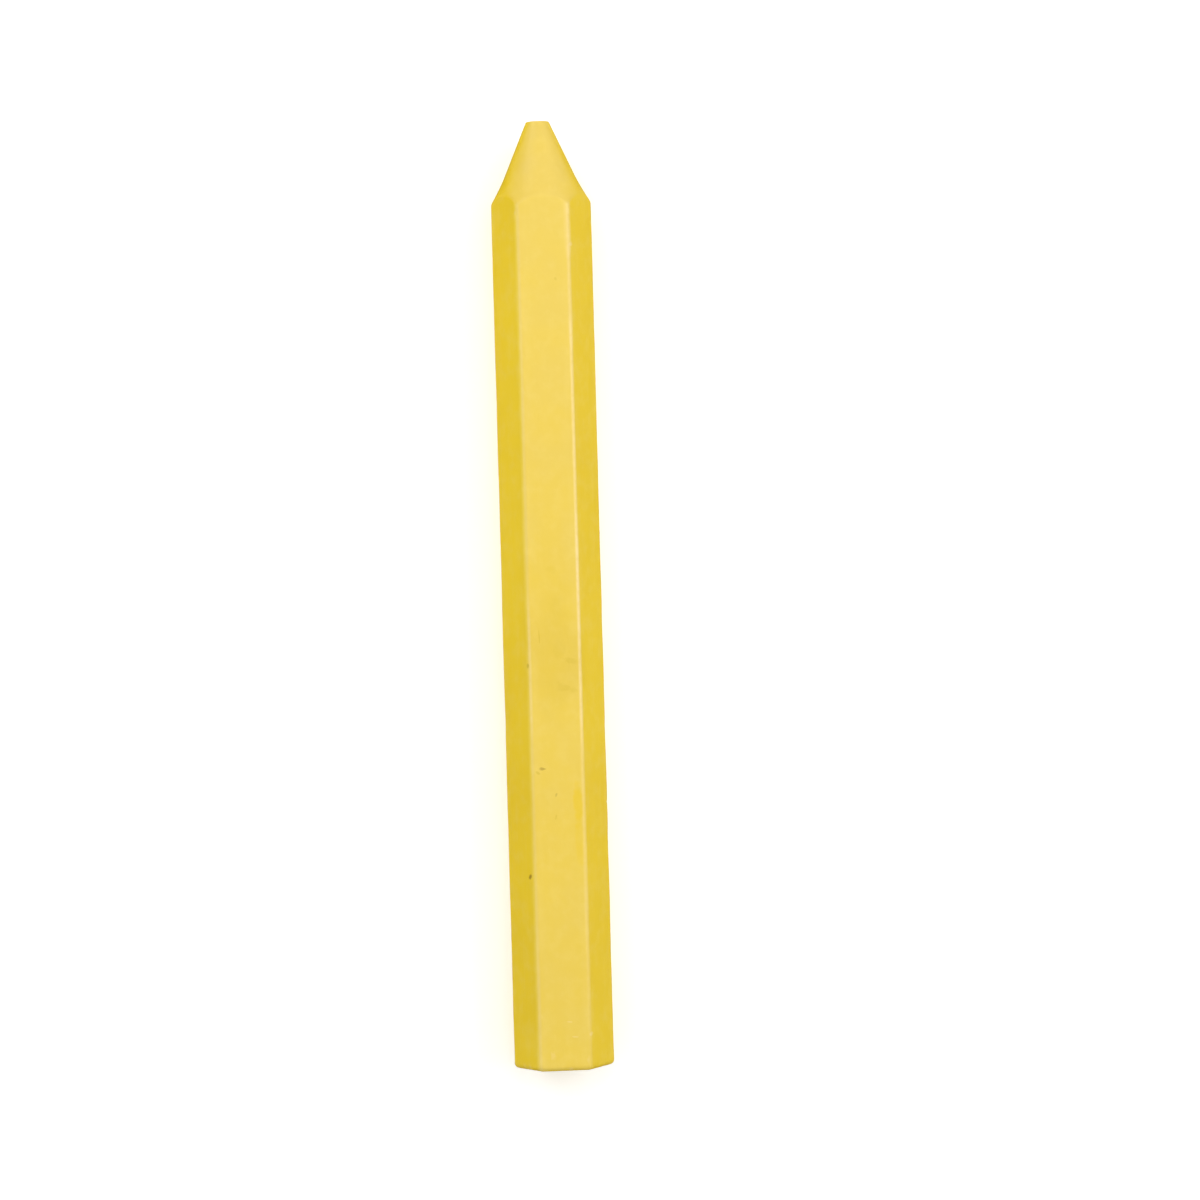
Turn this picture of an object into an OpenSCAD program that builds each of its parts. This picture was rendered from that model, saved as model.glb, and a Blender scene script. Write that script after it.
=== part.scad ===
// Marking chalk: a pressed hexagonal stick with rounded edges and a blunt, scalloped point.
//
// The stick lies on one of its flats, as it comes to rest on a bench. It runs along Y with its
// point towards +Y. The origin is under the middle of its length, on the surface it lies on.
// All sizes are in millimetres and all angles in degrees.

/* [Bar] */
// Overall length, from the butt to the blunt end of the point
stick_len = 120; // [90:1:150]
// Width across two opposite flats
flat_w = 11.2; // [9:0.1:14]
// Radius along the six long edges
edge_r = 0.7; // [0.5:0.05:1.2]
// Radius round the rim of the butt
butt_r = 0.65; // [0.1:0.05:0.7]

/* [Point] */
// Diameter of the blunt end, measured to where its side would meet it unrounded
nose_d = 2.9; // [2:0.1:4.4]
// Radius round the blunt end
nose_r = 0.25; // [0.1:0.05:0.5]
// Angle between the side of the point and its axis
cone_angle = 23.6; // [20:0.1:28]
// Depth below the flats at which the point starts to flare out into the bar
flare_depth = 1.3; // [0.5:0.1:2]
// Radius of the hollow curve of the flare
flare_r = 27; // [20:1:60]
// Lean of the point, which was pressed a little out of true: its foot lies towards +X
point_lean = 0.8; // [0:0.1:3]
// Depth of the point's axis below the bar's, since it was pressed a little low too
point_drop = 0.3; // [0:0.1:0.5]

/* [Hidden] */
chalk_yellow = [0.94, 0.82, 0.38];
$fn = 96;

// The bar's section: a hexagon set in from the flats, and the rounding grown round it
flats = 6;
flat_r = flat_w / 2;
core_r = (flat_r - edge_r) / cos(180 / flats);
corner_r = core_r + edge_r;
// Steps in a full turn of the edge rounding, and the angle between slices of the rim
edge_steps = 48;
rim_step = 18;
// How far from its blunt end the leaning point crosses the middle of the bar
lean_pivot = 13;
// How far the envelope of the point clears what it isn't meant to cut
spare = 1;

// The blunt end, in the point's own frame: X is the radius, and Y is 0 at the end and falls
// towards the butt
nose_centre = [nose_d / 2 - nose_r * tan(45 - cone_angle / 2), -nose_r];
nose_tangent = nose_centre + nose_r * [cos(cone_angle), sin(cone_angle)];
// A leaning end face rises on one side, so the point is lowered by as much
nose_rise = nose_centre[0] * sin(point_lean) + nose_r * (1 - cos(point_lean));

// The flare is an arc that leaves the straight side at a tangent, and is past the corners of
// the bar, with the lean and the drop allowed for, by the time it ends
flare_start = side_of_point(flat_r - flare_depth);
flare_centre = flare_start + flare_r * [cos(cone_angle), sin(cone_angle)];
flare_end_r = corner_r + point_drop + spare;
flare_end = [flare_end_r, lower_arc_y(flare_centre, flare_r, flare_end_r)];
// Below the flare the envelope is wide enough to miss the bar, however the point leans
wide_r = corner_r + point_drop + stick_len * sin(point_lean) + spare;

// The place on the straight side of the point that has the given radius
function side_of_point(radius) = [radius, (nose_d / 2 - radius) / tan(cone_angle)];

// Height of the lower half of a circle at the given X
function lower_arc_y(centre, radius, x) =
    centre[1] - sqrt(pow(radius, 2) - pow(x - centre[0], 2));

// Turns what stands on the XY plane so that it runs along +Y from the butt
module along_stick() {
    rotate([-90, 0, 0]) children();
}

// Section across the bar, drawn in by the inset where the rim of the butt is rounded
module section(inset = 0) {
    offset(r = edge_r - inset, $fn = edge_steps) circle(r = core_r, $fn = flats);
}

// The hexagonal bar. Its slices lie inside one another, each starting a little further from
// the butt and a little wider, and the hull over them rounds the rim.
module bar() {
    along_stick()
        hull()
            for (angle = [0 : rim_step : 90]) {
                start = butt_r * (1 - sin(angle));
                inset = butt_r * (1 - cos(angle));
                translate([0, 0, start]) linear_extrude(stick_len - start) section(inset);
            }
}

// Half the outline of the point, with the corner of the blunt end left open for nose_ring()
module point_profile() {
    difference() {
        polygon([
            [0, 0],
            [nose_centre[0], 0],
            nose_centre,
            nose_tangent,
            flare_start,
            flare_end,
            [wide_r, flare_end[1]],
            [wide_r, -stick_len - spare],
            [0, -stick_len - spare]
        ]);
        translate(flare_centre) circle(flare_r, $fn = 720);
    }
}

// The rounding of the blunt end
module nose_ring() {
    rotate_extrude() translate(nose_centre) circle(nose_r);
}

// What the pressing die leaves at the point: a blunt cone that flares out past the bar
module point_envelope() {
    translate([-lean_pivot * sin(point_lean), stick_len - nose_rise, -point_drop])
        rotate([0, 0, point_lean])
            along_stick() {
                rotate_extrude() point_profile();
                nose_ring();
            }
}

// The whole stick. Where the cone runs out through the flats it leaves the six scallops.
module chalk_stick() {
    color(chalk_yellow)
        translate([0, -stick_len / 2, flat_r])
            intersection() {
                bar();
                point_envelope();
            }
}

chalk_stick();
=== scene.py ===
"""The looks of a marking chalk: a pressed hexagonal stick with a blunt, scalloped point.

The stick lies on one of its flats along Y, with its point towards +Y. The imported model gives
its length and its width across the flats, and every other size is a field of the class that
uses it. Sizes are in metres and angles in degrees, except where a docstring says millimetres.
"""

import logging
import math
from collections.abc import Callable
from dataclasses import asdict, dataclass
from enum import Enum
from itertools import accumulate
from typing import Any, Union

import bpy
from mathutils import Matrix, Vector


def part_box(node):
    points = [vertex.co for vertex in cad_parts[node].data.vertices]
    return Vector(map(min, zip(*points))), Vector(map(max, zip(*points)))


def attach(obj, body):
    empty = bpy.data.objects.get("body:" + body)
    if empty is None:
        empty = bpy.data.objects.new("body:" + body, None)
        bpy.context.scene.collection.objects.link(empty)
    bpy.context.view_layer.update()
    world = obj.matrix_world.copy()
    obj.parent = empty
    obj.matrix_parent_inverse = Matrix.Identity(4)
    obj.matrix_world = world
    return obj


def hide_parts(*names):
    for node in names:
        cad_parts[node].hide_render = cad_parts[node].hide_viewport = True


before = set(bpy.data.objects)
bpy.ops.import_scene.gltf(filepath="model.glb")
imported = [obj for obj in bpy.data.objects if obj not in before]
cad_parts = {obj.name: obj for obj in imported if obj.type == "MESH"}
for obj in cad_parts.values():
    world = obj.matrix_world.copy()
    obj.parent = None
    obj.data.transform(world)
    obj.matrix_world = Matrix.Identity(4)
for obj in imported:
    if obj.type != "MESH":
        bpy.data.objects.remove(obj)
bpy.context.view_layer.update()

MM = 0.001

# Names of the map and of the values that the form leaves on the mesh for the finish
UNWRAP = "OFBake"
RIDGE_GAP = "ridge_gap"
ON_BAR = "on_bar"
WORN = "worn"

log = logging.getLogger("chalk")

Value = Union["Signal", float]
Colour = tuple[float, float, float, float]
Pair = tuple[float, float]
Triple = tuple[float, float, float]
Settings = dict[str, Any] | None
Sockets = dict[str | int, Any] | None


# ---- node building


def operator(operation: str, turned: bool = False) -> Callable[["Signal", Value], "Signal"]:
    """Makes an operator of Signal, with the Signal as the second of its values if turned."""
    step = -1 if turned else 1
    return lambda *values: values[0].bench.math(operation, *values[::step])


@dataclass(eq=False)
class Signal:
    """A value that varies over a surface: one output of a node, with arithmetic on it."""

    bench: "NodeBench"
    socket: bpy.types.NodeSocket

    def __abs__(self) -> "Signal":
        """The value without its sign."""
        return self.bench.math("ABSOLUTE", self)

    __add__ = operator("ADD")
    __radd__ = operator("ADD", turned=True)
    __sub__ = operator("SUBTRACT")
    __rsub__ = operator("SUBTRACT", turned=True)
    __mul__ = operator("MULTIPLY")
    __rmul__ = operator("MULTIPLY", turned=True)
    __truediv__ = operator("DIVIDE")
    __rtruediv__ = operator("DIVIDE", turned=True)
    __mod__ = operator("FLOORED_MODULO")


class Cover(Enum):
    """How much of the surface the blots of a noise cover: where they start and are whole."""

    MOST = (0.3, 0.6)
    HALF = (0.3, 0.7)
    SCARCE_HALF = (0.35, 0.7)
    SOME = (0.4, 0.75)
    LITTLE = (0.55, 0.75)
    RARE = (0.68, 0.78)


@dataclass(frozen=True)
class Pattern:
    """One soft noise: its seed, the size of its largest blots, and how many finer layers it has.

    With a cover the noise is drawn into blots that take that much of the surface.
    """

    seed: float
    grain: float
    detail: float = 2.0
    cover: Cover | None = None


@dataclass
class Place:
    """A point of a surface in the row frame, whole and as its three parts."""

    whole: Signal
    x: Value
    y: Value
    z: Value


class NodeBench:
    """Lays nodes in one tree, with their settings first and then their sockets."""

    def __init__(self, tree: bpy.types.NodeTree) -> None:
        """Clears the tree and keeps it."""
        self.tree = tree
        tree.nodes.clear()

    def node(self, kind: str, sockets: Sockets = None, settings: Settings = None) -> bpy.types.Node:
        """Adds one node.

        Args:
            kind: The node's type.
            sockets: A value or a Signal for each input, by the input's identifier or index.
            settings: Its properties, such as a Math node's operation.

        Returns:
            The new node.
        """
        node = self.tree.nodes.new(kind)
        for name, value in (settings or {}).items():
            setattr(node, name, value)
        inputs = {socket.identifier: socket for socket in node.inputs}
        for key, value in (sockets or {}).items():
            socket = node.inputs[key] if isinstance(key, int) else inputs[key]
            if isinstance(value, Signal):
                self.tree.links.new(value.socket, socket)
            else:
                socket.default_value = value
        return node

    def signal(
        self, kind: str, sockets: Sockets = None, settings: Settings = None, output: str | int = 0
    ) -> Signal:
        """Adds one node and gives the output with that name or index as a Signal."""
        return Signal(self, self.node(kind, sockets, settings).outputs[output])

    def math(self, operation: str, *values: Value) -> Signal:
        """Adds one Math node on one to three values."""
        return self.signal("ShaderNodeMath", dict(enumerate(values)), {"operation": operation})

    def rise(self, value: Value, start: Value, end: Value) -> Signal:
        """Smooth step of value, from 0 at start to 1 at end."""
        sockets = {"Value": value, "From Min": start, "From Max": end}
        return self.signal("ShaderNodeMapRange", sockets, {"interpolation_type": "SMOOTHSTEP"})

    def fall(self, value: Value, start: Value, end: Value) -> Signal:
        """Smooth step of value, from 1 at start to 0 at end."""
        return 1 - self.rise(value, start, end)

    def share(self, value: Value) -> Signal:
        """The value held between 0 and 1."""
        return self.math("MINIMUM", self.math("MAXIMUM", value, 0.0), 1.0)

    def between(self, share: Value, low: Value, high: Value) -> Signal:
        """The value that lies that share of the way from low to high."""
        return low + share * (high - low)

    def place(self, whole: Signal) -> Place:
        """Takes a vector apart."""
        parts = self.node("ShaderNodeSeparateXYZ", {"Vector": whole})
        return Place(whole, *(Signal(self, socket) for socket in parts.outputs))

    def point(self, x: Value, y: Value, z: Value) -> Place:
        """Puts three values together to one point."""
        whole = self.signal("ShaderNodeCombineXYZ", {"X": x, "Y": y, "Z": z})
        return Place(whole, x, y, z)

    def scaled(self, whole: Signal, by: Triple) -> Signal:
        """A vector with each part scaled by its own number."""
        factors = {"Vector": whole, "Vector_001": by}
        return self.signal("ShaderNodeVectorMath", factors, {"operation": "MULTIPLY"})

    def noise(self, whole: Signal, pattern: Pattern, seed: Value = 0.0) -> Signal:
        """Lays a noise.

        Args:
            whole: The place on the surface.
            pattern: The noise.
            seed: What is added to its own seed.

        Returns:
            The noise, about 0.5, or 1 inside its blots and 0 between them.
        """
        sockets = {"Vector": whole, "W": seed + pattern.seed, "Scale": 1 / pattern.grain}
        sockets["Detail"] = pattern.detail
        noise = self.signal("ShaderNodeTexNoise", sockets, {"noise_dimensions": "4D"})
        return self.rise(noise, *pattern.cover.value) if pattern.cover else noise

    def mixed(self, share: Value, under: Any, over: Any) -> Signal:
        """Mixes two colours, with share 1 giving the one that lies over."""
        sockets = {"Factor_Float": share, "A_Color": under, "B_Color": over}
        return self.signal("ShaderNodeMix", sockets, {"data_type": "RGBA"}, output=2)


# ---- marks of use


class Tone(Enum):
    """What a mark does to the chalk under it, by the finish's colour that it mixes in."""

    SOIL = "soil"
    SMUDGE = "smudge"
    BLOOM = "worn"
    RUBBED = "deep"


@dataclass(frozen=True)
class Mark:
    """One mark on the upper faces. All its sizes are in millimetres.

    It lies from_tip from the blunt end and across from the middle line, towards +X. A taper
    narrows it towards the end that its length points to, and turn swings that end from the
    butt towards +X.
    """

    from_tip: float
    across: float
    length: float
    width: float
    tone: Tone
    strength: float
    turn: float = 0.0
    taper: float = 0.0
    ragged: float = 0.25
    depth: float = 0.0

    # Shares of its reach at which a mark starts to fade and is gone
    FADE = (0.45, 1.1)
    # How much of its width the narrow end of a taper keeps, and the grain of a ragged outline
    NARROWEST = 0.1
    RAG_GRAIN = 0.6
    # Rise above the stick's axis over which the marks start
    UPPER = (0.0, 0.5 * MM)

    def mask(self, bench: NodeBench, place: Place, tip: Value, middle: Value) -> Signal:
        """Where the mark is.

        Args:
            bench: Lays the nodes.
            place: The place on the stick.
            tip: The Y of the blunt end.
            middle: The Z of the stick's axis, under which there is no mark.

        Returns:
            1 in the middle of the mark and 0 outside it.
        """
        turn = math.radians(self.turn)
        down = (tip - place.y) / MM - self.from_tip
        aside = place.x / MM - self.across
        along = (down * math.cos(turn) + aside * math.sin(turn)) / (self.length / 2)
        beside = (aside * math.cos(turn) - down * math.sin(turn)) / (self.width / 2)
        if self.taper:
            beside = beside / bench.math("MAXIMUM", 1 - along * self.taper, self.NARROWEST)
        reach = bench.math("SQRT", along * along + beside * beside)
        rag = Pattern(self.from_tip, self.RAG_GRAIN * self.width * MM)
        torn = (bench.noise(place.whole, rag) - 0.5) * (4 * self.ragged)
        return bench.fall(reach + torn, *self.FADE) * bench.rise(place.z - middle, *self.UPPER)


@dataclass(frozen=True)
class WearAndHighlightStretch:
    """A stretch of a long edge that is drawn pale, part rubbed wear and part painted highlight, in
    millimetres from the blunt end.
    """

    start: float
    end: float
    fade: float
    strength: float
    width: float = 0.38

    # Half the width of the line's even middle, in metres
    CREST = 0.02 * MM

    def mask(self, bench: NodeBench, down: Signal, gap: Signal) -> Signal:
        """How pale a place is, from rubbed wear and painted highlight.

        Args:
            bench: Lays the nodes.
            down: How far down the stick the place is.
            gap: Its distance to the nearest long edge.

        Returns:
            The stretch's strength on its line, and 0 away from it.
        """
        begins = bench.rise(down, (self.start - self.fade) * MM, (self.start + self.fade) * MM)
        ends = bench.fall(down, (self.end - self.fade) * MM, (self.end + self.fade) * MM)
        line = bench.fall(gap, self.CREST, self.width * MM)
        return begins * ends * line * self.strength


# The pale stretches of the two upper edges, part rubbed wear and part painted highlight, by the
# side: -1 left and 1 right
WearAndHighlightEdges = dict[int, tuple[WearAndHighlightStretch, ...]]


# ---- the stick's form


@dataclass
class Section:
    """The bar's section at one column: a point of its outline and how it lies."""

    x: Signal
    z: Signal
    normal_x: Signal
    normal_z: Signal
    ridge_gap: Signal
    around: Signal


@dataclass
class Profile:
    """One ring: how far down the stick it is, and how much of the section it keeps."""

    down: Signal
    nose_out: Signal
    inset: Signal
    closing: Signal
    on_nose_face: Signal
    on_butt_face: Signal


@dataclass(frozen=True)
class MapLayout:
    """How the mesh is laid out on its map, in shares of the map's side.

    The body lies in two strips, its front half first. The butt's face and then the nose's lie
    under them, each at its own scale, in shares for each metre.
    """

    left: float = 0.01
    top: float = 0.99
    strip_width: float = 0.48
    strip_length: float = 0.85
    strip_step: float = 0.5
    face_left: float = 0.07
    face_step: float = 0.13
    face_height: float = 0.065
    butt_scale: float = 9.0
    nose_scale: float = 24.0


class FormTree:
    """Geometry Nodes tree that draws a ball's rings out into the stick.

    The ball's first pole becomes the middle of the nose face, and its last the middle of the
    butt. Each ring in between takes the bar's section, and is drawn in to the cone of the
    point where the cone is narrower.
    """

    # How many rings of faces each stretch has, from the middle of the nose face to the butt's
    RINGS = dict(
        nose_face=8, nose_rim=6, point=84, bar_front=126, bar_rear=168, butt_rim=6, butt_face=16
    )
    # The ring at which each stretch ends
    ENDS = dict(zip(RINGS, accumulate(RINGS.values())))
    # Faces along one side, and round the stick
    SIDES = 6
    PER_SIDE = 30
    COLUMNS = PER_SIDE * SIDES
    # The share of a side that lies on its flat, and how its faces crowd towards the edges
    FLAT_SHARE = 22 / 30
    EASE = 0.35
    # The side that the columns are counted from
    FIRST_SIDE = 3
    # How far down the rings of the point reach
    POINT_END = 14 * MM
    # The gap to an edge that the middles of the end faces count as having
    FACE_GAP = 6 * MM
    # Where the rim of the butt turns from its left radius to its right one
    RIM_TURN = (1 * MM, 6 * MM)
    # How far the cone clears the bar where its finish gives way to the bar's
    JOIN = (-0.15 * MM, 0.25 * MM)
    # Where the lean of the rings ends, since the bar's rings are square to it
    LEAN_END = (12 * MM, 30 * MM)
    # Half the width across the corners in flat widths, and where the skew of the butt starts
    CORNER_SHARE = 0.57
    SKEW_START = 45 * MM
    # Distance from an edge within which it is worn down
    EDGE_REACH = (0.15 * MM, 0.75 * MM)
    # What the wear follows
    WAVES = Pattern(0, 11 * MM, 1)
    UNEVENNESS = Pattern(1, 0.9 * MM)
    RUBBED = Pattern(2, 7 * MM, cover=Cover.SOME)
    CHIPS = Pattern(3, 1.3 * MM, cover=Cover.RARE)
    CRUMBS = Pattern(4, 0.8 * MM, cover=Cover.LITTLE)
    DENTS = Pattern(7, 1.1 * MM, 3)
    # How far from the butt the crumbs reach
    CRUMB_REACH = 1.2 * MM
    # How much lower than the waves the unevenness is
    UNEVEN_SHARE = 0.25

    def __init__(self, sizes: dict[str, float], marks: tuple[Mark, ...]) -> None:
        """Lays out the whole tree.

        Args:
            sizes: The tree's named inputs, with the values that they start from.
            marks: The marks, of which those with a depth are pressed into the surface.
        """
        self.marks = marks
        self.tree = bpy.data.node_groups.new("stick_form", "GeometryNodeTree")
        self.bench = NodeBench(self.tree)
        self.sockets = self.add_inputs(sizes)
        entry = self.bench.node("NodeGroupInput")
        self.size = {name: Signal(self.bench, entry.outputs[name]) for name in self.sockets}
        self.lay_out()

    def add_inputs(self, sizes: dict[str, float]) -> dict[str, str]:
        """Adds the named inputs and the one output.

        Args:
            sizes: Name and first value of each number.

        Returns:
            The identifier of each input, by its name.
        """
        face = self.tree.interface
        made = {}
        for name, value in sizes.items():
            socket = face.new_socket(name, in_out="INPUT", socket_type="NodeSocketFloat")
            socket.default_value = value
            made[name] = socket.identifier
        socket = face.new_socket("Finish", in_out="INPUT", socket_type="NodeSocketMaterial")
        made["Finish"] = socket.identifier
        face.new_socket("Stick", in_out="OUTPUT", socket_type="NodeSocketGeometry")
        return made

    def lay_out(self) -> None:
        """Links the ball, its new shape, its attributes and its finish into one chain."""
        bench = self.bench
        divided = {"Segments": self.COLUMNS, "Rings": self.ENDS["butt_face"]}
        ball = bench.node("GeometryNodeMeshUVSphere", divided)
        # The ball's first point is a pole, and the rings follow it
        index = bench.signal("GeometryNodeInputIndex") - 1
        ring = bench.math("FLOOR", index / self.COLUMNS) + 1
        section = self.section(index % self.COLUMNS)
        profile = self.profile(ring, section.x)
        place, on_bar, worn = self.surface(section, profile)
        ridge_gap = section.ridge_gap + profile.inset + (1 - profile.closing) * self.FACE_GAP
        mesh = Signal(bench, ball.outputs["Mesh"])
        moved = {"Geometry": mesh, "Position": place.whole}
        mesh = bench.signal("GeometryNodeSetPosition", moved)
        for name, value in ((RIDGE_GAP, ridge_gap), (ON_BAR, on_bar), (WORN, worn)):
            kept = {"Geometry": mesh, "Name": name, "Value": value}
            mesh = bench.signal("GeometryNodeStoreNamedAttribute", kept)
        mesh = self.unwrapped(mesh, Signal(bench, ball.outputs["UV Map"]))
        for kind in ("GeometryNodeSetShadeSmooth", "GeometryNodeRealizeInstances"):
            mesh = bench.signal(kind, {"Geometry": mesh})
        coated = {"Geometry": mesh, "Material": self.size["Finish"]}
        mesh = bench.signal("GeometryNodeSetMaterial", coated)
        bench.node("NodeGroupOutput", {0: mesh})

    def section(self, column: Signal) -> Section:
        """The rounded hexagon at a column.

        Args:
            column: Which column, counted from the edge under the right side.

        Returns:
            The outline's point, its normal, and how far it is from the nearest edge.
        """
        bench = self.bench
        edge = self.size["Edge Radius"]
        core = self.size["Flat Width"] / 2 - edge
        half_bend = math.pi / self.SIDES
        half_flat = core * math.tan(half_bend)
        side = bench.math("FLOOR", column / self.PER_SIDE)
        step = (column % self.PER_SIDE) * (2 / self.PER_SIDE) - 1
        hand = bench.math("SIGN", step)
        on_flat = bench.share(abs(step) / self.FLAT_SHARE)
        eased = on_flat * (1 + self.EASE) - on_flat * on_flat * on_flat * self.EASE
        bend = bench.share((abs(step) - self.FLAT_SHARE) / (1 - self.FLAT_SHARE)) * half_bend
        bend_sine = bench.math("SINE", bend)
        bend_cosine = bench.math("COSINE", bend)
        across = (half_flat * eased + edge * bend_sine) * hand
        out = core + edge * bend_cosine
        turn = (side + self.FIRST_SIDE) * (2 * half_bend)
        sine = bench.math("SINE", turn)
        cosine = bench.math("COSINE", turn)
        outline = half_flat * eased + edge * bend
        whole = half_flat + edge * half_bend
        return Section(
            x=across * cosine + out * sine,
            z=out * cosine - across * sine,
            normal_x=bend_sine * hand * cosine + bend_cosine * sine,
            normal_z=bend_cosine * cosine - bend_sine * hand * sine,
            ridge_gap=whole - outline,
            around=(side + 0.5 + outline / whole * hand / 2) / self.SIDES,
        )

    def stretch(self, ring: Signal, name: str) -> Signal:
        """The share of a stretch that lies before a ring, from 0 to 1."""
        count = self.RINGS[name]
        return self.bench.share((ring - (self.ENDS[name] - count)) / count)

    def profile(self, ring: Signal, x: Signal) -> Profile:
        """The profile from the nose face to the butt.

        Args:
            ring: Which ring, counted from the middle of the nose face.
            x: Where the section's point lies across, since the butt's rim isn't even.

        Returns:
            The ring's distance down the stick and its size.
        """
        bench, size = self.bench, self.size
        cone = math.radians(1) * size["Cone Angle"]
        nose_turn = self.stretch(ring, "nose_rim") * (math.pi / 2 - cone)
        nose_flat = size["Nose Diameter"] / 2 - size["Nose Radius"] * bench.math(
            "TANGENT", math.pi / 4 - cone / 2
        )
        butt_turn = self.stretch(ring, "butt_rim") * (math.pi / 2)
        rightward = bench.rise(x, *self.RIM_TURN)
        butt_round = bench.between(rightward, size["Butt Radius"], size["Worn Rim"])
        nose_part = size["Nose Radius"] * (1 - bench.math("COSINE", nose_turn))
        point = self.stretch(ring, "point") * (self.POINT_END - self.nose_depth(cone))
        front = self.stretch(ring, "bar_front") * (size["Length"] / 2 - self.POINT_END)
        rear_length = size["Length"] / 2 - self.nose_rise() - butt_round
        rear = self.stretch(ring, "bar_rear") * rear_length
        return Profile(
            down=nose_part + point + front + rear + butt_round * bench.math("SINE", butt_turn),
            nose_out=nose_flat * self.stretch(ring, "nose_face")
            + size["Nose Radius"] * bench.math("SINE", nose_turn),
            inset=butt_round * (1 - bench.math("COSINE", butt_turn)),
            closing=1 - self.stretch(ring, "butt_face"),
            on_nose_face=1 - self.stretch(ring, "nose_rim"),
            on_butt_face=self.stretch(ring, "butt_rim"),
        )

    def nose_depth(self, cone: Signal) -> Signal:
        """How far down the rounding of the nose meets the side of the cone."""
        return self.size["Nose Radius"] * (1 - self.bench.math("SINE", cone))

    def nose_rise(self) -> Signal:
        """How much the leaning nose face rises on one side, by which the point is lowered."""
        lean = math.radians(1) * self.size["Lean"]
        return self.size["Nose Diameter"] / 2 * self.bench.math("SINE", lean)

    def envelope(self, profile: Profile) -> Signal:
        """The outline of the point: the nose, then the straight cone, then the hollow flare.

        Args:
            profile: The ring.

        Returns:
            The point's radius at that ring.
        """
        bench, size = self.bench, self.size
        cone = math.radians(1) * size["Cone Angle"]
        slope = bench.math("TANGENT", cone)
        flare_out = size["Flat Width"] / 2 - size["Flare Depth"]
        flare_start = (flare_out - size["Nose Diameter"] / 2) / slope
        straight = bench.math("MINIMUM", profile.down, flare_start) - self.nose_depth(cone)
        past = bench.math("MAXIMUM", profile.down - flare_start, 0.0)
        reach = past + size["Flare Radius"] * bench.math("SINE", cone)
        drop = size["Flare Radius"] * size["Flare Radius"] - reach * reach
        hollow = size["Flare Radius"] * bench.math("COSINE", cone) - bench.math(
            "SQRT", bench.math("MAXIMUM", drop, 0.0)
        )
        return profile.nose_out + slope * bench.math("MAXIMUM", straight, 0.0) + hollow

    def surface(self, section: Section, profile: Profile) -> tuple[Place, Signal, Signal]:
        """The finished surface.

        Args:
            section: The bar's section at this column.
            profile: The ring.

        Returns:
            The point, how much it belongs to the bar and not the cone, and how worn it is.
        """
        bench, size = self.bench, self.size
        lean = math.radians(1) * size["Lean"]
        centre = (profile.down - size["Lean Pivot"]) * bench.math("SINE", lean)
        aside = section.x - profile.inset * section.normal_x - centre
        above = section.z - profile.inset * section.normal_z + size["Drop"]
        reach = bench.math("SQRT", aside * aside + above * above)
        cone = self.envelope(profile)
        held = bench.math("SMOOTH_MIN", reach, cone, size["Junction Blend"])
        on_bar = bench.rise(cone - reach, *self.JOIN)
        ray_x = aside / reach
        ray_z = above / reach
        top = size["Length"] / 2 - self.nose_rise()
        leaning = held * ray_x * bench.math("SINE", lean)
        leaning = leaning * bench.fall(profile.down, *self.LEAN_END)
        skew = bench.math("TANGENT", math.radians(1) * size["Butt Skew"])
        x = (centre + ray_x * held) * profile.closing
        squint = (x + size["Flat Width"] * self.CORNER_SHARE) * skew
        squint = squint * bench.rise(size["Length"] - profile.down, self.SKEW_START, 0.0)
        y = top - profile.down + leaning + squint
        z = (ray_z * held - size["Drop"]) * profile.closing
        plain = bench.point(x, y, z + size["Flat Width"] / 2)
        depth, worn = self.wear(plain, section.ridge_gap, on_bar, profile)
        x = x - ray_x * depth * profile.closing
        z = z - ray_z * depth * profile.closing
        dents = bench.noise(plain.whole, self.DENTS, size["Seed"]) * size["End Dents"]
        y = y + dents * (profile.on_butt_face - profile.on_nose_face)
        return bench.point(x, y, z + size["Flat Width"] / 2), on_bar, worn

    def wear(
        self, place: Place, ridge_gap: Signal, on_bar: Signal, profile: Profile
    ) -> tuple[Signal, Signal]:
        """How deep the surface is worn in.

        Args:
            place: The point on the unworn surface.
            ridge_gap: Distance to the nearest long edge.
            on_bar: 1 on the bar, 0 on the cone.
            profile: The ring.

        Returns:
            The depth in metres, and 1 where an edge is freshly chipped.
        """
        bench, size = self.bench, self.size
        seed = size["Seed"]
        ridge = bench.fall(ridge_gap, *self.EDGE_REACH) * on_bar
        waves = bench.noise(place.whole, self.WAVES, seed) * size["Waviness"]
        ripple = size["Waviness"] * self.UNEVEN_SHARE
        unevenness = bench.noise(place.whole, self.UNEVENNESS, seed) * ripple
        rubbed = bench.noise(place.whole, self.RUBBED, seed)
        chips = bench.noise(place.whole, self.CHIPS, seed)
        rim = bench.rise(profile.down, size["Length"] - self.CRUMB_REACH, size["Length"])
        crumbs = bench.noise(place.whole, self.CRUMBS, seed) * rim
        chipped = ridge * chips + crumbs
        worn_down = ridge * rubbed * size["Edge Wear"]
        depth = waves + unevenness + worn_down + chipped * size["Chip Depth"]
        middle = size["Flat Width"] / 2
        for mark in self.marks:
            if mark.depth:
                mask = mark.mask(bench, place, size["Length"] / 2, middle)
                depth = depth + mask * (mark.depth * MM)
        return depth, bench.share(chipped)

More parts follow.
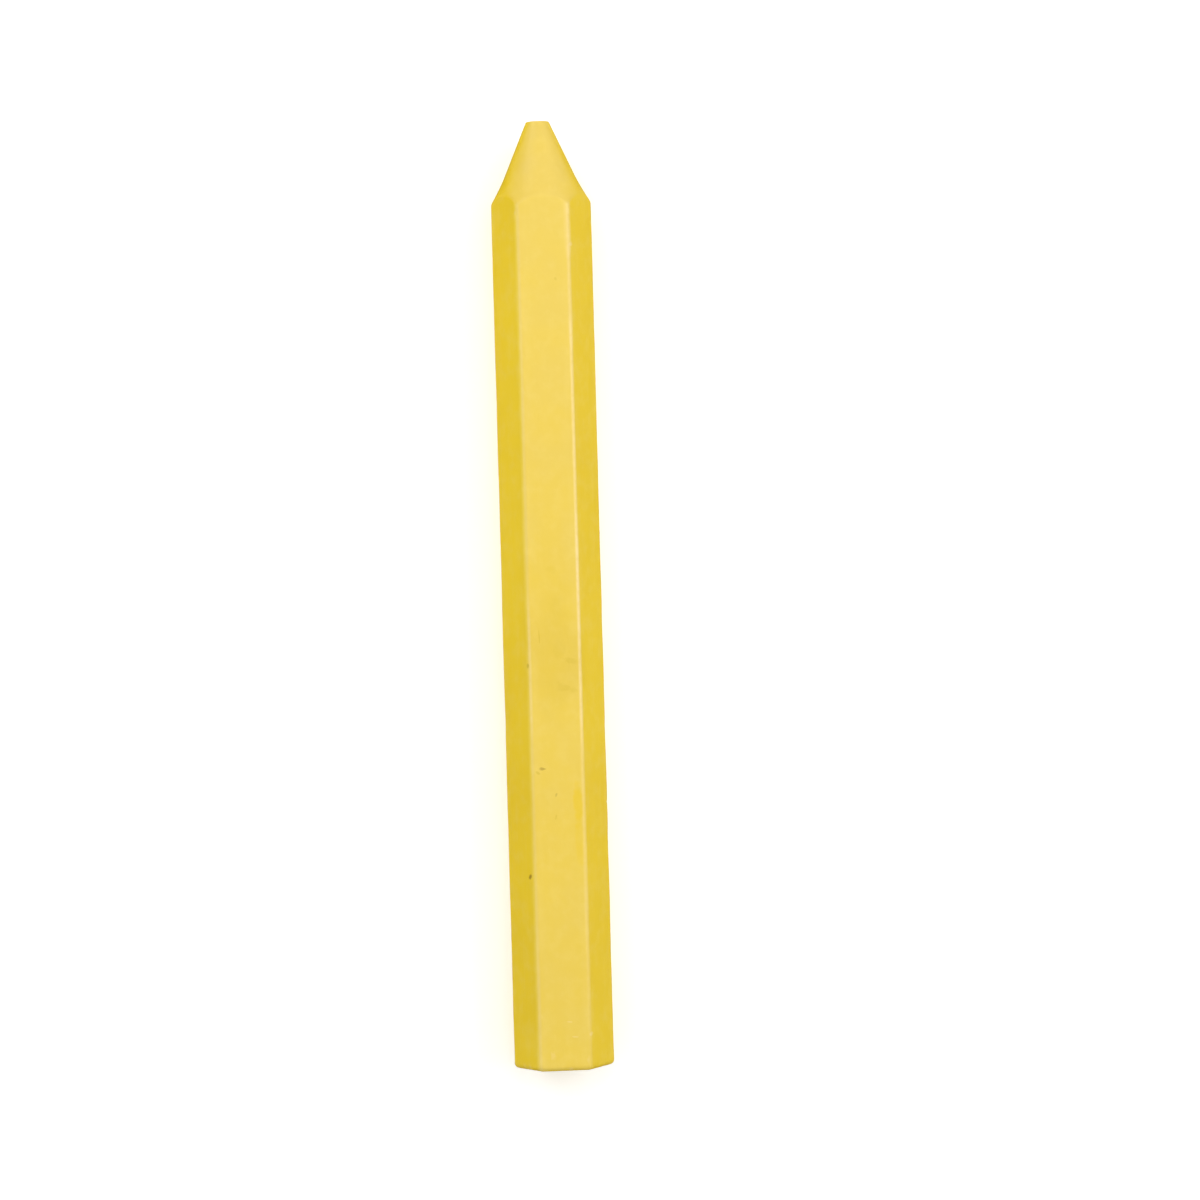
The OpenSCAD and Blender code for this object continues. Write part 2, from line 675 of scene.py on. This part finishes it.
    def unwrapped(self, mesh: Signal, ball_map: Signal) -> Signal:
        """Gives the mesh its map.

        Args:
            mesh: The formed stick.
            ball_map: The ball's own map, which says ring and column at each corner of a face.

        Returns:
            The mesh with the map on it.
        """
        bench, layout = self.bench, MapLayout()
        corner = bench.place(ball_map)
        ring = (1 - corner.y) * self.ENDS["butt_face"]
        section = self.section(corner.x * self.COLUMNS)
        down = self.profile(ring, section.x).down
        face_ring = bench.signal(
            "GeometryNodeFieldOnDomain", {0: ring}, {"domain": "FACE", "data_type": "FLOAT"}
        )
        half = self.size["Length"] / 2
        rear = bench.math("GREATER_THAN", face_ring, self.ENDS["bar_front"])
        body_u = layout.left + section.around * layout.strip_width + rear * layout.strip_step
        body_v = layout.top - (down - rear * half) / half * layout.strip_length
        spot = bench.place(bench.signal("GeometryNodeInputPosition"))
        above = spot.z - self.size["Flat Width"] / 2
        nose = bench.math("LESS_THAN", face_ring, self.ENDS["nose_face"])
        butt = bench.math("GREATER_THAN", face_ring, self.ENDS["butt_rim"])
        scale = bench.between(nose, layout.butt_scale, layout.nose_scale)
        end_u = layout.face_left + nose * layout.face_step + spot.x * scale
        end_v = layout.face_height + above * scale
        on_end = nose + butt
        flat = bench.point(
            bench.between(on_end, body_u, end_u), bench.between(on_end, body_v, end_v), 0.0
        )
        kept = {"Geometry": mesh, "Name": UNWRAP, "Value": flat.whole}
        settings = {"data_type": "FLOAT2", "domain": "CORNER"}
        return bench.signal("GeometryNodeStoreNamedAttribute", kept, settings)


# ---- the finish


def paint(*swatch: int) -> Colour:
    """Turns a swatch's red, green and blue, each from 0 to 255, into a linear colour."""
    shares = [part / 255 for part in swatch]
    return (*(c / 12.92 if c <= 0.04045 else ((c + 0.055) / 1.055) ** 2.4 for c in shares), 1.0)


@dataclass(frozen=True)
class Strewing:
    """Small round spots strewn over the surface, of which some are left out.

    spacing is how far apart they lie, size where each starts to fade and is gone, and kept
    the random numbers from which one starts to show and is whole.
    """

    spacing: float
    size: Pair
    kept: Pair
    seed: float

    def mask(self, bench: NodeBench, place: Place) -> Signal:
        """Lays the spots.

        Args:
            bench: Lays the nodes.
            place: The place on the stick.

        Returns:
            1 in the middle of a spot and 0 outside it.
        """
        sockets = {"Vector": place.whole, "W": self.seed, "Scale": 1 / self.spacing}
        cells = bench.node("ShaderNodeTexVoronoi", sockets, {"voronoi_dimensions": "4D"})
        distance = Signal(bench, cells.outputs["Distance"]) * self.spacing
        lot = bench.signal("ShaderNodeSeparateColor", {0: Signal(bench, cells.outputs["Color"])})
        return bench.fall(distance, *self.size) * bench.rise(lot, *self.kept)


class Skin:
    """What the finish knows of each place on the stick.

    down is its distance from the blunt end and gap that to the nearest long edge. on_bar,
    chipped and upper are 1 on the bar, on a fresh chip and on the two upper edges.
    """

    # Height above the axis over which the upper edges start
    TOP_EDGES = (2.5 * MM, 4.5 * MM)

    def __init__(self, bench: NodeBench, tip: float, middle: float) -> None:
        """Reads what the form has left on the mesh.

        Args:
            bench: Lays the nodes.
            tip: The Y of the blunt end.
            middle: The Z of the stick's axis.
        """
        self.bench = bench
        self.place = bench.place(bench.signal("ShaderNodeTexCoord", output="Object"))
        self.gap, self.on_bar, self.chipped = (
            bench.signal("ShaderNodeAttribute", None, {"attribute_name": name}, "Fac")
            for name in (RIDGE_GAP, ON_BAR, WORN)
        )
        self.down = tip - self.place.y
        self.upper = bench.rise(self.place.z - middle, *self.TOP_EDGES)


@dataclass(frozen=True)
class ChalkFinish:
    """Pressed wax chalk: satin yellow, with a painted sheen on top and pale edges, part rubbed wear
    and part painted highlight.

    A pair gives a value at the butt and at the point, or on the cone and on the bar, or the
    places where something starts and is whole, or starts to fade and is gone.
    """

    body: Colour = paint(237, 203, 25)
    deep: Colour = paint(229, 193, 11)
    # Paler colours of the painted sheen of the overhead light, on the bar and on the cone
    film: Colour = paint(227, 197, 86)
    handled: Colour = paint(223, 194, 94)
    bloom: Colour = paint(243, 220, 130)
    # Pale chalk of wear and flecks, which along the upper edges also paints their highlight
    worn: Colour = paint(252, 228, 176)
    # Colour of the painted highlight on the outer side of the upper left edge
    crest: Colour = paint(254, 233, 138)
    soil: Colour = paint(118, 72, 4)
    smudge: Colour = paint(200, 169, 38)
    clouds: Pattern = Pattern(11, 13 * MM, 3, Cover.HALF)
    cloud_share: float = 0.5
    mottle: Pattern = Pattern(12, 1.6 * MM, 4, Cover.SOME)
    mottle_share: float = 0.13
    # Painted sheen: what faces up is made paler, as the overhead light makes it, leaning slightly
    # to the right and weaker towards the butt
    sheen_lean: float = 0.07
    sheen_starts: Pair = (0.32, 0.45)
    sheen_whole: Pair = (0.86, 0.85)
    sheen_ends: Pair = (-60 * MM, 60 * MM)
    sheen_strength: Pair = (0.82, 0.92)
    sheen_patches: Pattern = Pattern(16, 5 * MM, 4, Cover.HALF)
    sheen_unevenness: Pair = (0.08, 0.07)
    margin: Pair = (0.4 * MM, 1.4 * MM)
    margin_drifts: Pattern = Pattern(13, 1.5 * MM, 3, Cover.SCARCE_HALF)
    margin_share: float = 0.1
    flecks: Strewing = Strewing(1.9 * MM, (0.04 * MM, 0.16 * MM), (0.55, 0.9), 14)
    fleck_share: float = 0.4
    specks: Strewing = Strewing(5.5 * MM, (0.05 * MM, 0.16 * MM), (0.6, 0.7), 15)
    speck_share: float = 0.35
    # How pale the edge lines get: rubbed wear, and a painted highlight on the upper edges
    wear_and_highlight_share: float = 0.75
    chipped_share: float = 0.3
    # The long edges: the unseen ones are rubbed in blotches, and every line has faint breaks
    unseen_line: Pair = (0.02 * MM, 0.42 * MM)
    unseen_blotches: Pattern = Pattern(41, 9 * MM, cover=Cover.SCARCE_HALF)
    unseen_share: float = 0.6
    breaks: Pattern = Pattern(42, 0.8 * MM, cover=Cover.MOST)
    in_breaks: float = 0.6
    # The painted highlight along the outer side of the upper left edge
    shoulder: float = 0.25
    shoulder_shift: float = 0.1 * MM
    shoulder_width: float = 0.36 * MM
    shoulder_breaks: Pattern = Pattern(43, 3 * MM, cover=Cover.HALF)
    in_shoulder_breaks: float = 0.7
    roughness: float = 0.38
    sheen: Pattern = Pattern(31, 3 * MM)
    sheen_spread: float = 0.12
    polish: float = 0.08
    specular: float = 0.3
    grain: Pattern = Pattern(21, 0.22 * MM, 3)
    grain_height: float = 0.018 * MM
    drawn_lines: Pattern = Pattern(22, 0.5 * MM)
    line_height: float = 0.02 * MM
    pores: Strewing = Strewing(1.2 * MM, (0.03 * MM, 0.12 * MM), (0.6, 0.8), 23)
    pore_depth: float = 0.03 * MM

    # How far what is drawn along the stick is stretched: across it, along it and upwards
    DRIFT = (1, 0.15, 1)
    LINES = (1, 0.03, 1)

    def material(
        self, tip: float, middle: float, marks: tuple[Mark, ...], edges: WearAndHighlightEdges
    ) -> bpy.types.Material:
        """Builds the finish.

        Args:
            tip: The Y of the blunt end.
            middle: The Z of the stick's axis.
            marks: The marks on the upper faces.
            edges: The pale stretches of the upper edges, part rubbed wear and part painted
                highlight.

        Returns:
            The material.
        """
        material = bpy.data.materials.new("pressed_chalk")
        material.use_nodes = True
        bench = NodeBench(material.node_tree)
        skin = Skin(bench, tip, middle)
        place = skin.place
        # Rubbed wear of the long edges, with a painted highlight along the upper ones
        rubbed = bench.share(self.edge_wear_and_highlight(skin, edges) * skin.on_bar)
        colour = self.colour(skin, rubbed)
        # Painted highlight along the outer side of the upper left edge
        shoulder = self.painted_shoulder_highlight(skin, middle * math.tan(math.radians(30)))
        colour = bench.mixed(shoulder * skin.upper * skin.on_bar, colour, self.crest)
        for mark in marks:
            share = mark.mask(bench, place, tip, middle) * mark.strength
            colour = bench.mixed(share, colour, getattr(self, mark.tone.value))
        sheen = (bench.noise(place.whole, self.sheen) - 0.5) * self.sheen_spread
        relief = {"Strength": 1.0, "Distance": 1.0, "Height": self.height(skin)}
        coat = {
            "Base Color": colour,
            "Roughness": self.roughness + sheen - rubbed * self.polish,
            "Normal": bench.signal("ShaderNodeBump", relief),
            "Specular IOR Level": self.specular,
        }
        surface = bench.signal("ShaderNodeBsdfPrincipled", coat)
        bench.node("ShaderNodeOutputMaterial", {"Surface": surface})
        return material

    def edge_wear_and_highlight(self, skin: Skin, edges: WearAndHighlightEdges) -> Signal:
        """Where the long edges are pale: rubbed wear, and along the two upper edges also a painted
        highlight.

        Args:
            skin: What is known of each place.
            edges: The pale stretches of the two upper edges.

        Returns:
            How pale each place is, from wear and painted highlight, from 0 up.
        """
        bench, place = skin.bench, skin.place
        blotches = bench.noise(place.whole, self.unseen_blotches)
        line = bench.fall(skin.gap, *self.unseen_line)
        total = blotches * (1 - skin.upper) * line * self.unseen_share
        for side, stretches in edges.items():
            here = bench.rise(place.x * side, 0.0, 1 * MM) * skin.upper
            for stretch in stretches:
                total = total + stretch.mask(bench, skin.down, skin.gap) * here
        unbroken = bench.noise(place.whole, self.breaks)
        return total * bench.between(unbroken, self.in_breaks, 1.0)

    def painted_shoulder_highlight(self, skin: Skin, edge: float) -> Signal:
        """Where a highlight is painted on the outer side of the left edge.

        Args:
            skin: What is known of each place.
            edge: How far the edge lies from the middle line.

        Returns:
            How much of the painted highlight's colour lies there.
        """
        bench, place = skin.bench, skin.place
        beside = abs(place.x + (edge + self.shoulder_shift))
        unbroken = bench.noise(place.whole, self.shoulder_breaks)
        line = bench.fall(beside, 0.0, self.shoulder_width)
        return line * bench.between(unbroken, self.in_shoulder_breaks, 1.0) * self.shoulder

    def colour(self, skin: Skin, rubbed: Signal) -> Signal:
        """The chalk's colour without its marks.

        Args:
            skin: What is known of each place.
            rubbed: How pale the edge is, from rubbed wear and painted highlight.

        Returns:
            The colour.
        """
        bench, place = skin.bench, skin.place
        clouds = bench.noise(place.whole, self.clouds)
        colour = bench.mixed(clouds * self.cloud_share, self.body, self.deep)
        # Painted sheen: up-facing faces made paler, as the overhead light makes them
        painted_sheen_colour = bench.mixed(skin.on_bar, self.handled, self.film)
        colour = bench.mixed(self.painted_sheen_cover(skin), colour, painted_sheen_colour)
        mottle = bench.noise(place.whole, self.mottle)
        drifts = bench.noise(bench.scaled(place.whole, self.DRIFT), self.margin_drifts)
        margin = bench.fall(skin.gap, *self.margin) * skin.on_bar * drifts
        pale = mottle * self.mottle_share + margin * self.margin_share
        colour = bench.mixed(pale, colour, self.bloom)
        flecks = self.flecks.mask(bench, place) * self.fleck_share
        colour = bench.mixed(flecks, colour, self.worn)
        specks = self.specks.mask(bench, place) * self.speck_share
        colour = bench.mixed(specks, colour, self.soil)
        # Pale wear and chips, with the painted highlight along the upper edges
        pale_wear_and_highlight = rubbed * self.wear_and_highlight_share + skin.chipped * self.chipped_share
        return bench.mixed(bench.share(pale_wear_and_highlight), colour, self.worn)

    def painted_sheen_cover(self, skin: Skin) -> Signal:
        """Where the sheen is painted: what faces up is made paler, weaker towards the butt, where
        the light falls off.

        Args:
            skin: What is known of each place.

        Returns:
            How much of it there is, from 0 to 1.
        """
        bench, place = skin.bench, skin.place
        facing = bench.place(bench.signal("ShaderNodeTexCoord", output="Normal"))
        starts = bench.between(skin.on_bar, *self.sheen_starts)
        whole = bench.between(skin.on_bar, *self.sheen_whole)
        lies = bench.rise(facing.z + facing.x * self.sheen_lean, starts, whole)
        sheen_amount = bench.between(bench.rise(place.y, *self.sheen_ends), *self.sheen_strength)
        patches = bench.noise(place.whole, self.sheen_patches)
        weaker, stronger = self.sheen_unevenness
        return lies * bench.between(patches, sheen_amount - weaker, sheen_amount + stronger)

    def height(self, skin: Skin) -> Signal:
        """Fine relief: the grain of the pressing, lines drawn along the stick, and small pores.

        Args:
            skin: What is known of each place.

        Returns:
            The height in metres.
        """
        bench, whole = skin.bench, skin.place.whole
        grain = bench.noise(whole, self.grain) * self.grain_height
        lines = bench.noise(bench.scaled(whole, self.LINES), self.drawn_lines) * self.line_height
        return grain + lines - self.pores.mask(bench, skin.place) * self.pore_depth


# ---- the main piece


def in_scene(name: str, data: bpy.types.ID) -> bpy.types.Object:
    """Puts a mesh, a light or a camera in the scene.

    Args:
        name: The object's name.
        data: What it shows.

    Returns:
        The object.
    """
    made = bpy.data.objects.new(name, data)
    bpy.context.scene.collection.objects.link(made)
    return made


@dataclass
class StickSizes:
    """The stick's sizes and how worn it is, each of which is an input of its form."""

    length: float
    flat_width: float
    edge_radius: float = 0.7 * MM
    butt_radius: float = 0.65 * MM
    worn_rim: float = 0.68 * MM
    nose_diameter: float = 2.9 * MM
    nose_radius: float = 0.25 * MM
    cone_angle: float = 23.6
    flare_depth: float = 1.3 * MM
    flare_radius: float = 27.0 * MM
    lean: float = 0.8
    lean_pivot: float = 13.0 * MM
    drop: float = 0.3 * MM
    junction_blend: float = 0.33 * MM
    butt_skew: float = 0.35
    waviness: float = 0.03 * MM
    edge_wear: float = 0.06 * MM
    chip_depth: float = 0.1 * MM
    end_dents: float = 0.08 * MM
    seed: float = 3.0

    def named(self) -> dict[str, float]:
        """The sizes by the names of the form's inputs."""
        return {name.replace("_", " ").title(): size for name, size in asdict(self).items()}


@dataclass
class ChalkStick:
    """The whole stick."""

    sizes: StickSizes
    finish: ChalkFinish = ChalkFinish()

    def marks(self) -> tuple[Mark, ...]:
        """The marks that use has left on the upper faces, from the point to the butt."""
        return (
            Mark(16.0, 3.4, 0.7, 0.5, Tone.BLOOM, 0.3, depth=0.05),
            Mark(20.3, 1.4, 0.5, 0.4, Tone.SMUDGE, 0.3),
            Mark(56.8, -0.1, 2.0, 1.0, Tone.SMUDGE, 0.1, turn=70, ragged=0.5),
            Mark(61.5, 0.3, 3.2, 2.2, Tone.SMUDGE, 0.08, turn=20, ragged=0.5),
            Mark(62.5, -0.6, 27.0, 7.5, Tone.RUBBED, 0.13, ragged=0.3),
            Mark(65.2, -1.9, 2.2, 0.16, Tone.SMUDGE, 0.45, turn=2, depth=0.01),
            Mark(66.6, 0.4, 3.4, 2.0, Tone.SMUDGE, 0.1, turn=25, ragged=0.6),
            Mark(67.0, 0.0, 18.0, 7.5, Tone.SMUDGE, 0.16, ragged=0.3),
            Mark(68.3, 2.1, 2.3, 1.0, Tone.SMUDGE, 0.24, turn=75, ragged=0.5),
            Mark(71.7, 1.2, 2.8, 1.3, Tone.SMUDGE, 0.2, turn=70, ragged=0.5),
            Mark(68.8, -3.4, 0.7, 0.4, Tone.SMUDGE, 0.6, depth=0.05),
            Mark(81.8, -1.9, 1.0, 0.4, Tone.SOIL, 0.42, turn=90, taper=0.6, depth=0.03),
            Mark(82.3, -2.5, 0.8, 0.4, Tone.SMUDGE, 0.4, turn=60),
            Mark(85.1, -0.3, 0.6, 0.3, Tone.SOIL, 0.24, turn=-25),
            Mark(87.9, -0.4, 0.9, 0.3, Tone.SMUDGE, 0.3, turn=-10),
            Mark(86.2, 2.42, 6.0, 1.35, Tone.RUBBED, 0.6),
            Mark(90.6, 2.45, 8.6, 1.3, Tone.RUBBED, 0.32),
            Mark(95.4, -3.8, 0.85, 0.4, Tone.SOIL, 0.62, turn=-15, depth=0.1),
            Mark(113.7, 0.6, 0.8, 0.25, Tone.BLOOM, 0.22, turn=85),
            Mark(115.6, 1.3, 0.9, 0.25, Tone.BLOOM, 0.22, turn=85),
            Mark(115.3, 3.3, 0.6, 0.5, Tone.BLOOM, 0.3),
            Mark(117.9, -1.6, 1.2, 0.8, Tone.BLOOM, 0.14, ragged=0.4),
        )

    def wear_and_highlight_edges(self) -> WearAndHighlightEdges:
        """The pale stretches of the two upper edges: rubbed wear, and a painted highlight that is
        much stronger on the right edge.
        """
        return {
            -1: (
                WearAndHighlightStretch(9, 38, 3, 0.13),
                WearAndHighlightStretch(38, 60, 3, 0.07),
                WearAndHighlightStretch(60, 121, 3, 0.1),
                WearAndHighlightStretch(62, 77, 2, 0.25, 0.32),
                WearAndHighlightStretch(106, 121, 3, 0.08),
            ),
            1: (
                WearAndHighlightStretch(9.8, 17, 1.5, 0.36, 0.75),
                WearAndHighlightStretch(16, 28, 2, 0.24, 0.5),
                WearAndHighlightStretch(26, 51, 2, 0.45),
                WearAndHighlightStretch(51, 66, 3, 0.69),
                WearAndHighlightStretch(66, 78, 3, 0.6),
                WearAndHighlightStretch(78, 102, 4, 0.18, 0.5),
                WearAndHighlightStretch(100, 112, 5, 0.1, 0.5),
            ),
        }

    def build(self) -> bpy.types.Object:
        """Forms the stick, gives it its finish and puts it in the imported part's place.

        Returns:
            The stick.
        """
        marks = self.marks()
        tip, middle = self.sizes.length / 2, self.sizes.flat_width / 2
        material = self.finish.material(tip, middle, marks, self.wear_and_highlight_edges())
        sizes = self.sizes.named()
        stick = self.formed(FormTree(sizes, marks), sizes, material)
        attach(stick, "root")
        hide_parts("chalk_stick")
        return stick

    @staticmethod
    def formed(
        form: FormTree, sizes: dict[str, float], material: bpy.types.Material
    ) -> bpy.types.Object:
        """Runs the form's tree once and keeps the result as a plain mesh.

        Args:
            form: The tree.
            sizes: The value of each of its inputs.
            material: The finish.

        Returns:
            The stick, with no modifier left on it.
        """
        blank = in_scene("blank", bpy.data.meshes.new("blank"))
        modifier = blank.modifiers.new("stick_form", "NODES")
        modifier.node_group = form.tree
        for name, value in {**sizes, "Finish": material}.items():
            modifier[form.sockets[name]] = value
        depsgraph = bpy.context.evaluated_depsgraph_get()
        mesh = bpy.data.meshes.new_from_object(
            blank.evaluated_get(depsgraph), preserve_all_data_layers=True, depsgraph=depsgraph
        )
        bpy.data.objects.remove(blank)
        mesh.name = "chalk_stick_body"
        return in_scene("chalk_stick_body", mesh)


# ---- the studio


def plain_material(name: str, kind: str, sockets: dict[str, Any]) -> bpy.types.Material:
    """Builds a material of one even shader.

    Args:
        name: The material's name.
        kind: The shader's type.
        sockets: The values of its inputs.

    Returns:
        The material.
    """
    material = bpy.data.materials.new(name)
    material.use_nodes = True
    bench = NodeBench(material.node_tree)
    bench.node("ShaderNodeOutputMaterial", {"Surface": bench.signal(kind, sockets)})
    return material


@dataclass
class Floor:
    """Plain pale floor, level with the face that the stick lies on."""

    width: float = 6.0
    shade: Colour = paint(233, 233, 233)
    glow: float = 0.42
    roughness: float = 0.7

    def build(self) -> None:
        """Makes the floor, matt and with the faint glow of a lit table."""
        reach = self.width / 2
        corners = [(-reach, -reach, 0), (reach, -reach, 0), (reach, reach, 0), (-reach, reach, 0)]
        mesh = bpy.data.meshes.new("floor")
        mesh.from_pydata(corners, [], [(0, 1, 2, 3)])
        coat = {
            "Base Color": self.shade,
            "Roughness": self.roughness,
            "Specular IOR Level": 0.0,
            "Emission Color": self.shade,
            "Emission Strength": self.glow,
        }
        mesh.materials.append(plain_material("pale_floor", "ShaderNodeBsdfPrincipled", coat))
        floor = in_scene("floor", mesh)
        floor.visible_glossy = False


@dataclass
class Backdrop:
    """Plain pale wall round the floor. Only the camera sees it, so it adds no light."""

    radius: float = 2.9
    height: float = 1.6
    sides: int = 96
    shade: Colour = paint(227, 227, 227)

    def build(self) -> None:
        """Makes the wall, as bright as the far floor and standing on it."""
        turns = [2 * math.pi * side / self.sides for side in range(self.sides)]
        ring = [(self.radius * math.cos(turn), self.radius * math.sin(turn)) for turn in turns]
        points = [(x, y, z) for z in (0.0, self.height) for x, y in ring]
        faces = []
        for side in range(self.sides):
            after = (side + 1) % self.sides
            faces.append((after, side, side + self.sides, after + self.sides))
        mesh = bpy.data.meshes.new("backdrop")
        mesh.from_pydata(points, [], faces)
        coat = {"Color": self.shade, "Strength": 1.0}
        mesh.materials.append(plain_material("pale_wall", "ShaderNodeEmission", coat))
        wall = in_scene("backdrop", mesh)
        wall.visible_diffuse = wall.visible_glossy = wall.visible_transmission = False
        wall.visible_shadow = False


@dataclass
class LightTent:
    """White surroundings, brightest overhead."""

    horizon: float = 0.0
    zenith: float = 0.88
    brightest_from: float = 0.9

    def build(self) -> None:
        """Makes the surroundings and puts them in the scene."""
        world = bpy.data.worlds.new("light_tent")
        world.use_nodes = True
        bench = NodeBench(world.node_tree)
        sky = bench.place(bench.signal("ShaderNodeTexCoord", output="Generated"))
        height = bench.rise(sky.z, 0.0, self.brightest_from)
        strength = bench.between(height, self.horizon, self.zenith)
        light = bench.signal("ShaderNodeBackground", {"Strength": strength})
        bench.node("ShaderNodeOutputWorld", {"Surface": light})
        bpy.context.scene.world = world


@dataclass
class SoftBox:
    """Square soft light that faces a point on the floor, set by how bright its face is."""

    name: str
    place: Triple
    width: float
    brightness: float
    aim: Triple = (0.0, 0.0, 0.0)

    def build(self) -> None:
        """Makes the light."""
        lamp = bpy.data.lights.new(self.name, "AREA")
        lamp.shape = "SQUARE"
        lamp.size = self.width
        lamp.energy = self.brightness * math.pi * self.width**2
        box = in_scene(self.name, lamp)
        away = Vector(self.place) - Vector(self.aim)
        box.location = self.place
        box.rotation_euler = away.to_track_quat("Z", "Y").to_euler()


@dataclass
class StandCamera:
    """Camera on a copy stand, a little to one side of the stick and looking down on it.

    Its places are measured from the centre, which is the middle of the stick.
    """

    centre: Vector
    height: float = 540 * MM
    beside: float = -17.6 * MM
    ahead: float = 6.6 * MM
    aim_beside: float = 6.12 * MM
    aim_ahead: float = -0.85 * MM
    roll: float = 1.57
    lens: float = 127.75

    def build(self) -> None:
        """Makes the camera and gives it to the scene."""
        settings = bpy.data.cameras.new("stand_camera")
        settings.lens = self.lens
        settings.clip_start = 10 * MM
        camera = in_scene("stand_camera", settings)
        place = self.centre + Vector((self.beside, self.ahead, self.height))
        aim = self.centre + Vector((self.aim_beside, self.aim_ahead, 0))
        back = (place - aim).normalized()
        roll = math.radians(self.roll)
        right = Vector((math.sin(roll), math.cos(roll), 0)).cross(back).normalized()
        up = back.cross(right)
        turned = Matrix((right, up, back)).transposed().to_4x4()
        camera.matrix_world = Matrix.Translation(place) @ turned
        bpy.context.scene.camera = camera


@dataclass
class Studio:
    """Floor, backdrop, surroundings, lights and camera."""

    lights: tuple[SoftBox, ...] = (
        SoftBox("overhead_light", (0.02, 0.22, 0.60), 0.25, 2.15),
        SoftBox("left_light", (-0.45, 0.05, 0.45), 0.3, 1.6),
        SoftBox("right_light", (0.45, 0.05, 0.45), 0.3, 4.6),
        SoftBox("far_left_light", (-0.3, 0.3, 0.3), 0.3, 2.8),
        SoftBox("far_right_light", (0.3, 0.3, 0.3), 0.3, 1.3),
    )

    def build(self, centre: Vector) -> None:
        """Sets everything up round the centre, which is the middle of the stick."""
        for fitting in (Floor(), Backdrop(), LightTent(), *self.lights, StandCamera(centre)):
            fitting.build()
        bpy.context.scene.view_settings.view_transform = "Standard"


def main() -> None:
    """Builds the stick and the studio round it."""
    logging.basicConfig(level=logging.INFO, format="%(name)s: %(message)s")
    low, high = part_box("chalk_stick")
    stick = ChalkStick(StickSizes(length=high.y - low.y, flat_width=high.z - low.z)).build()
    log.info("%s: %d faces", stick.name, len(stick.data.polygons))
    studio = Studio()
    studio.build((low + high) / 2)
    log.info("studio: %d lights", len(studio.lights))


if __name__ == "__main__":
    main()
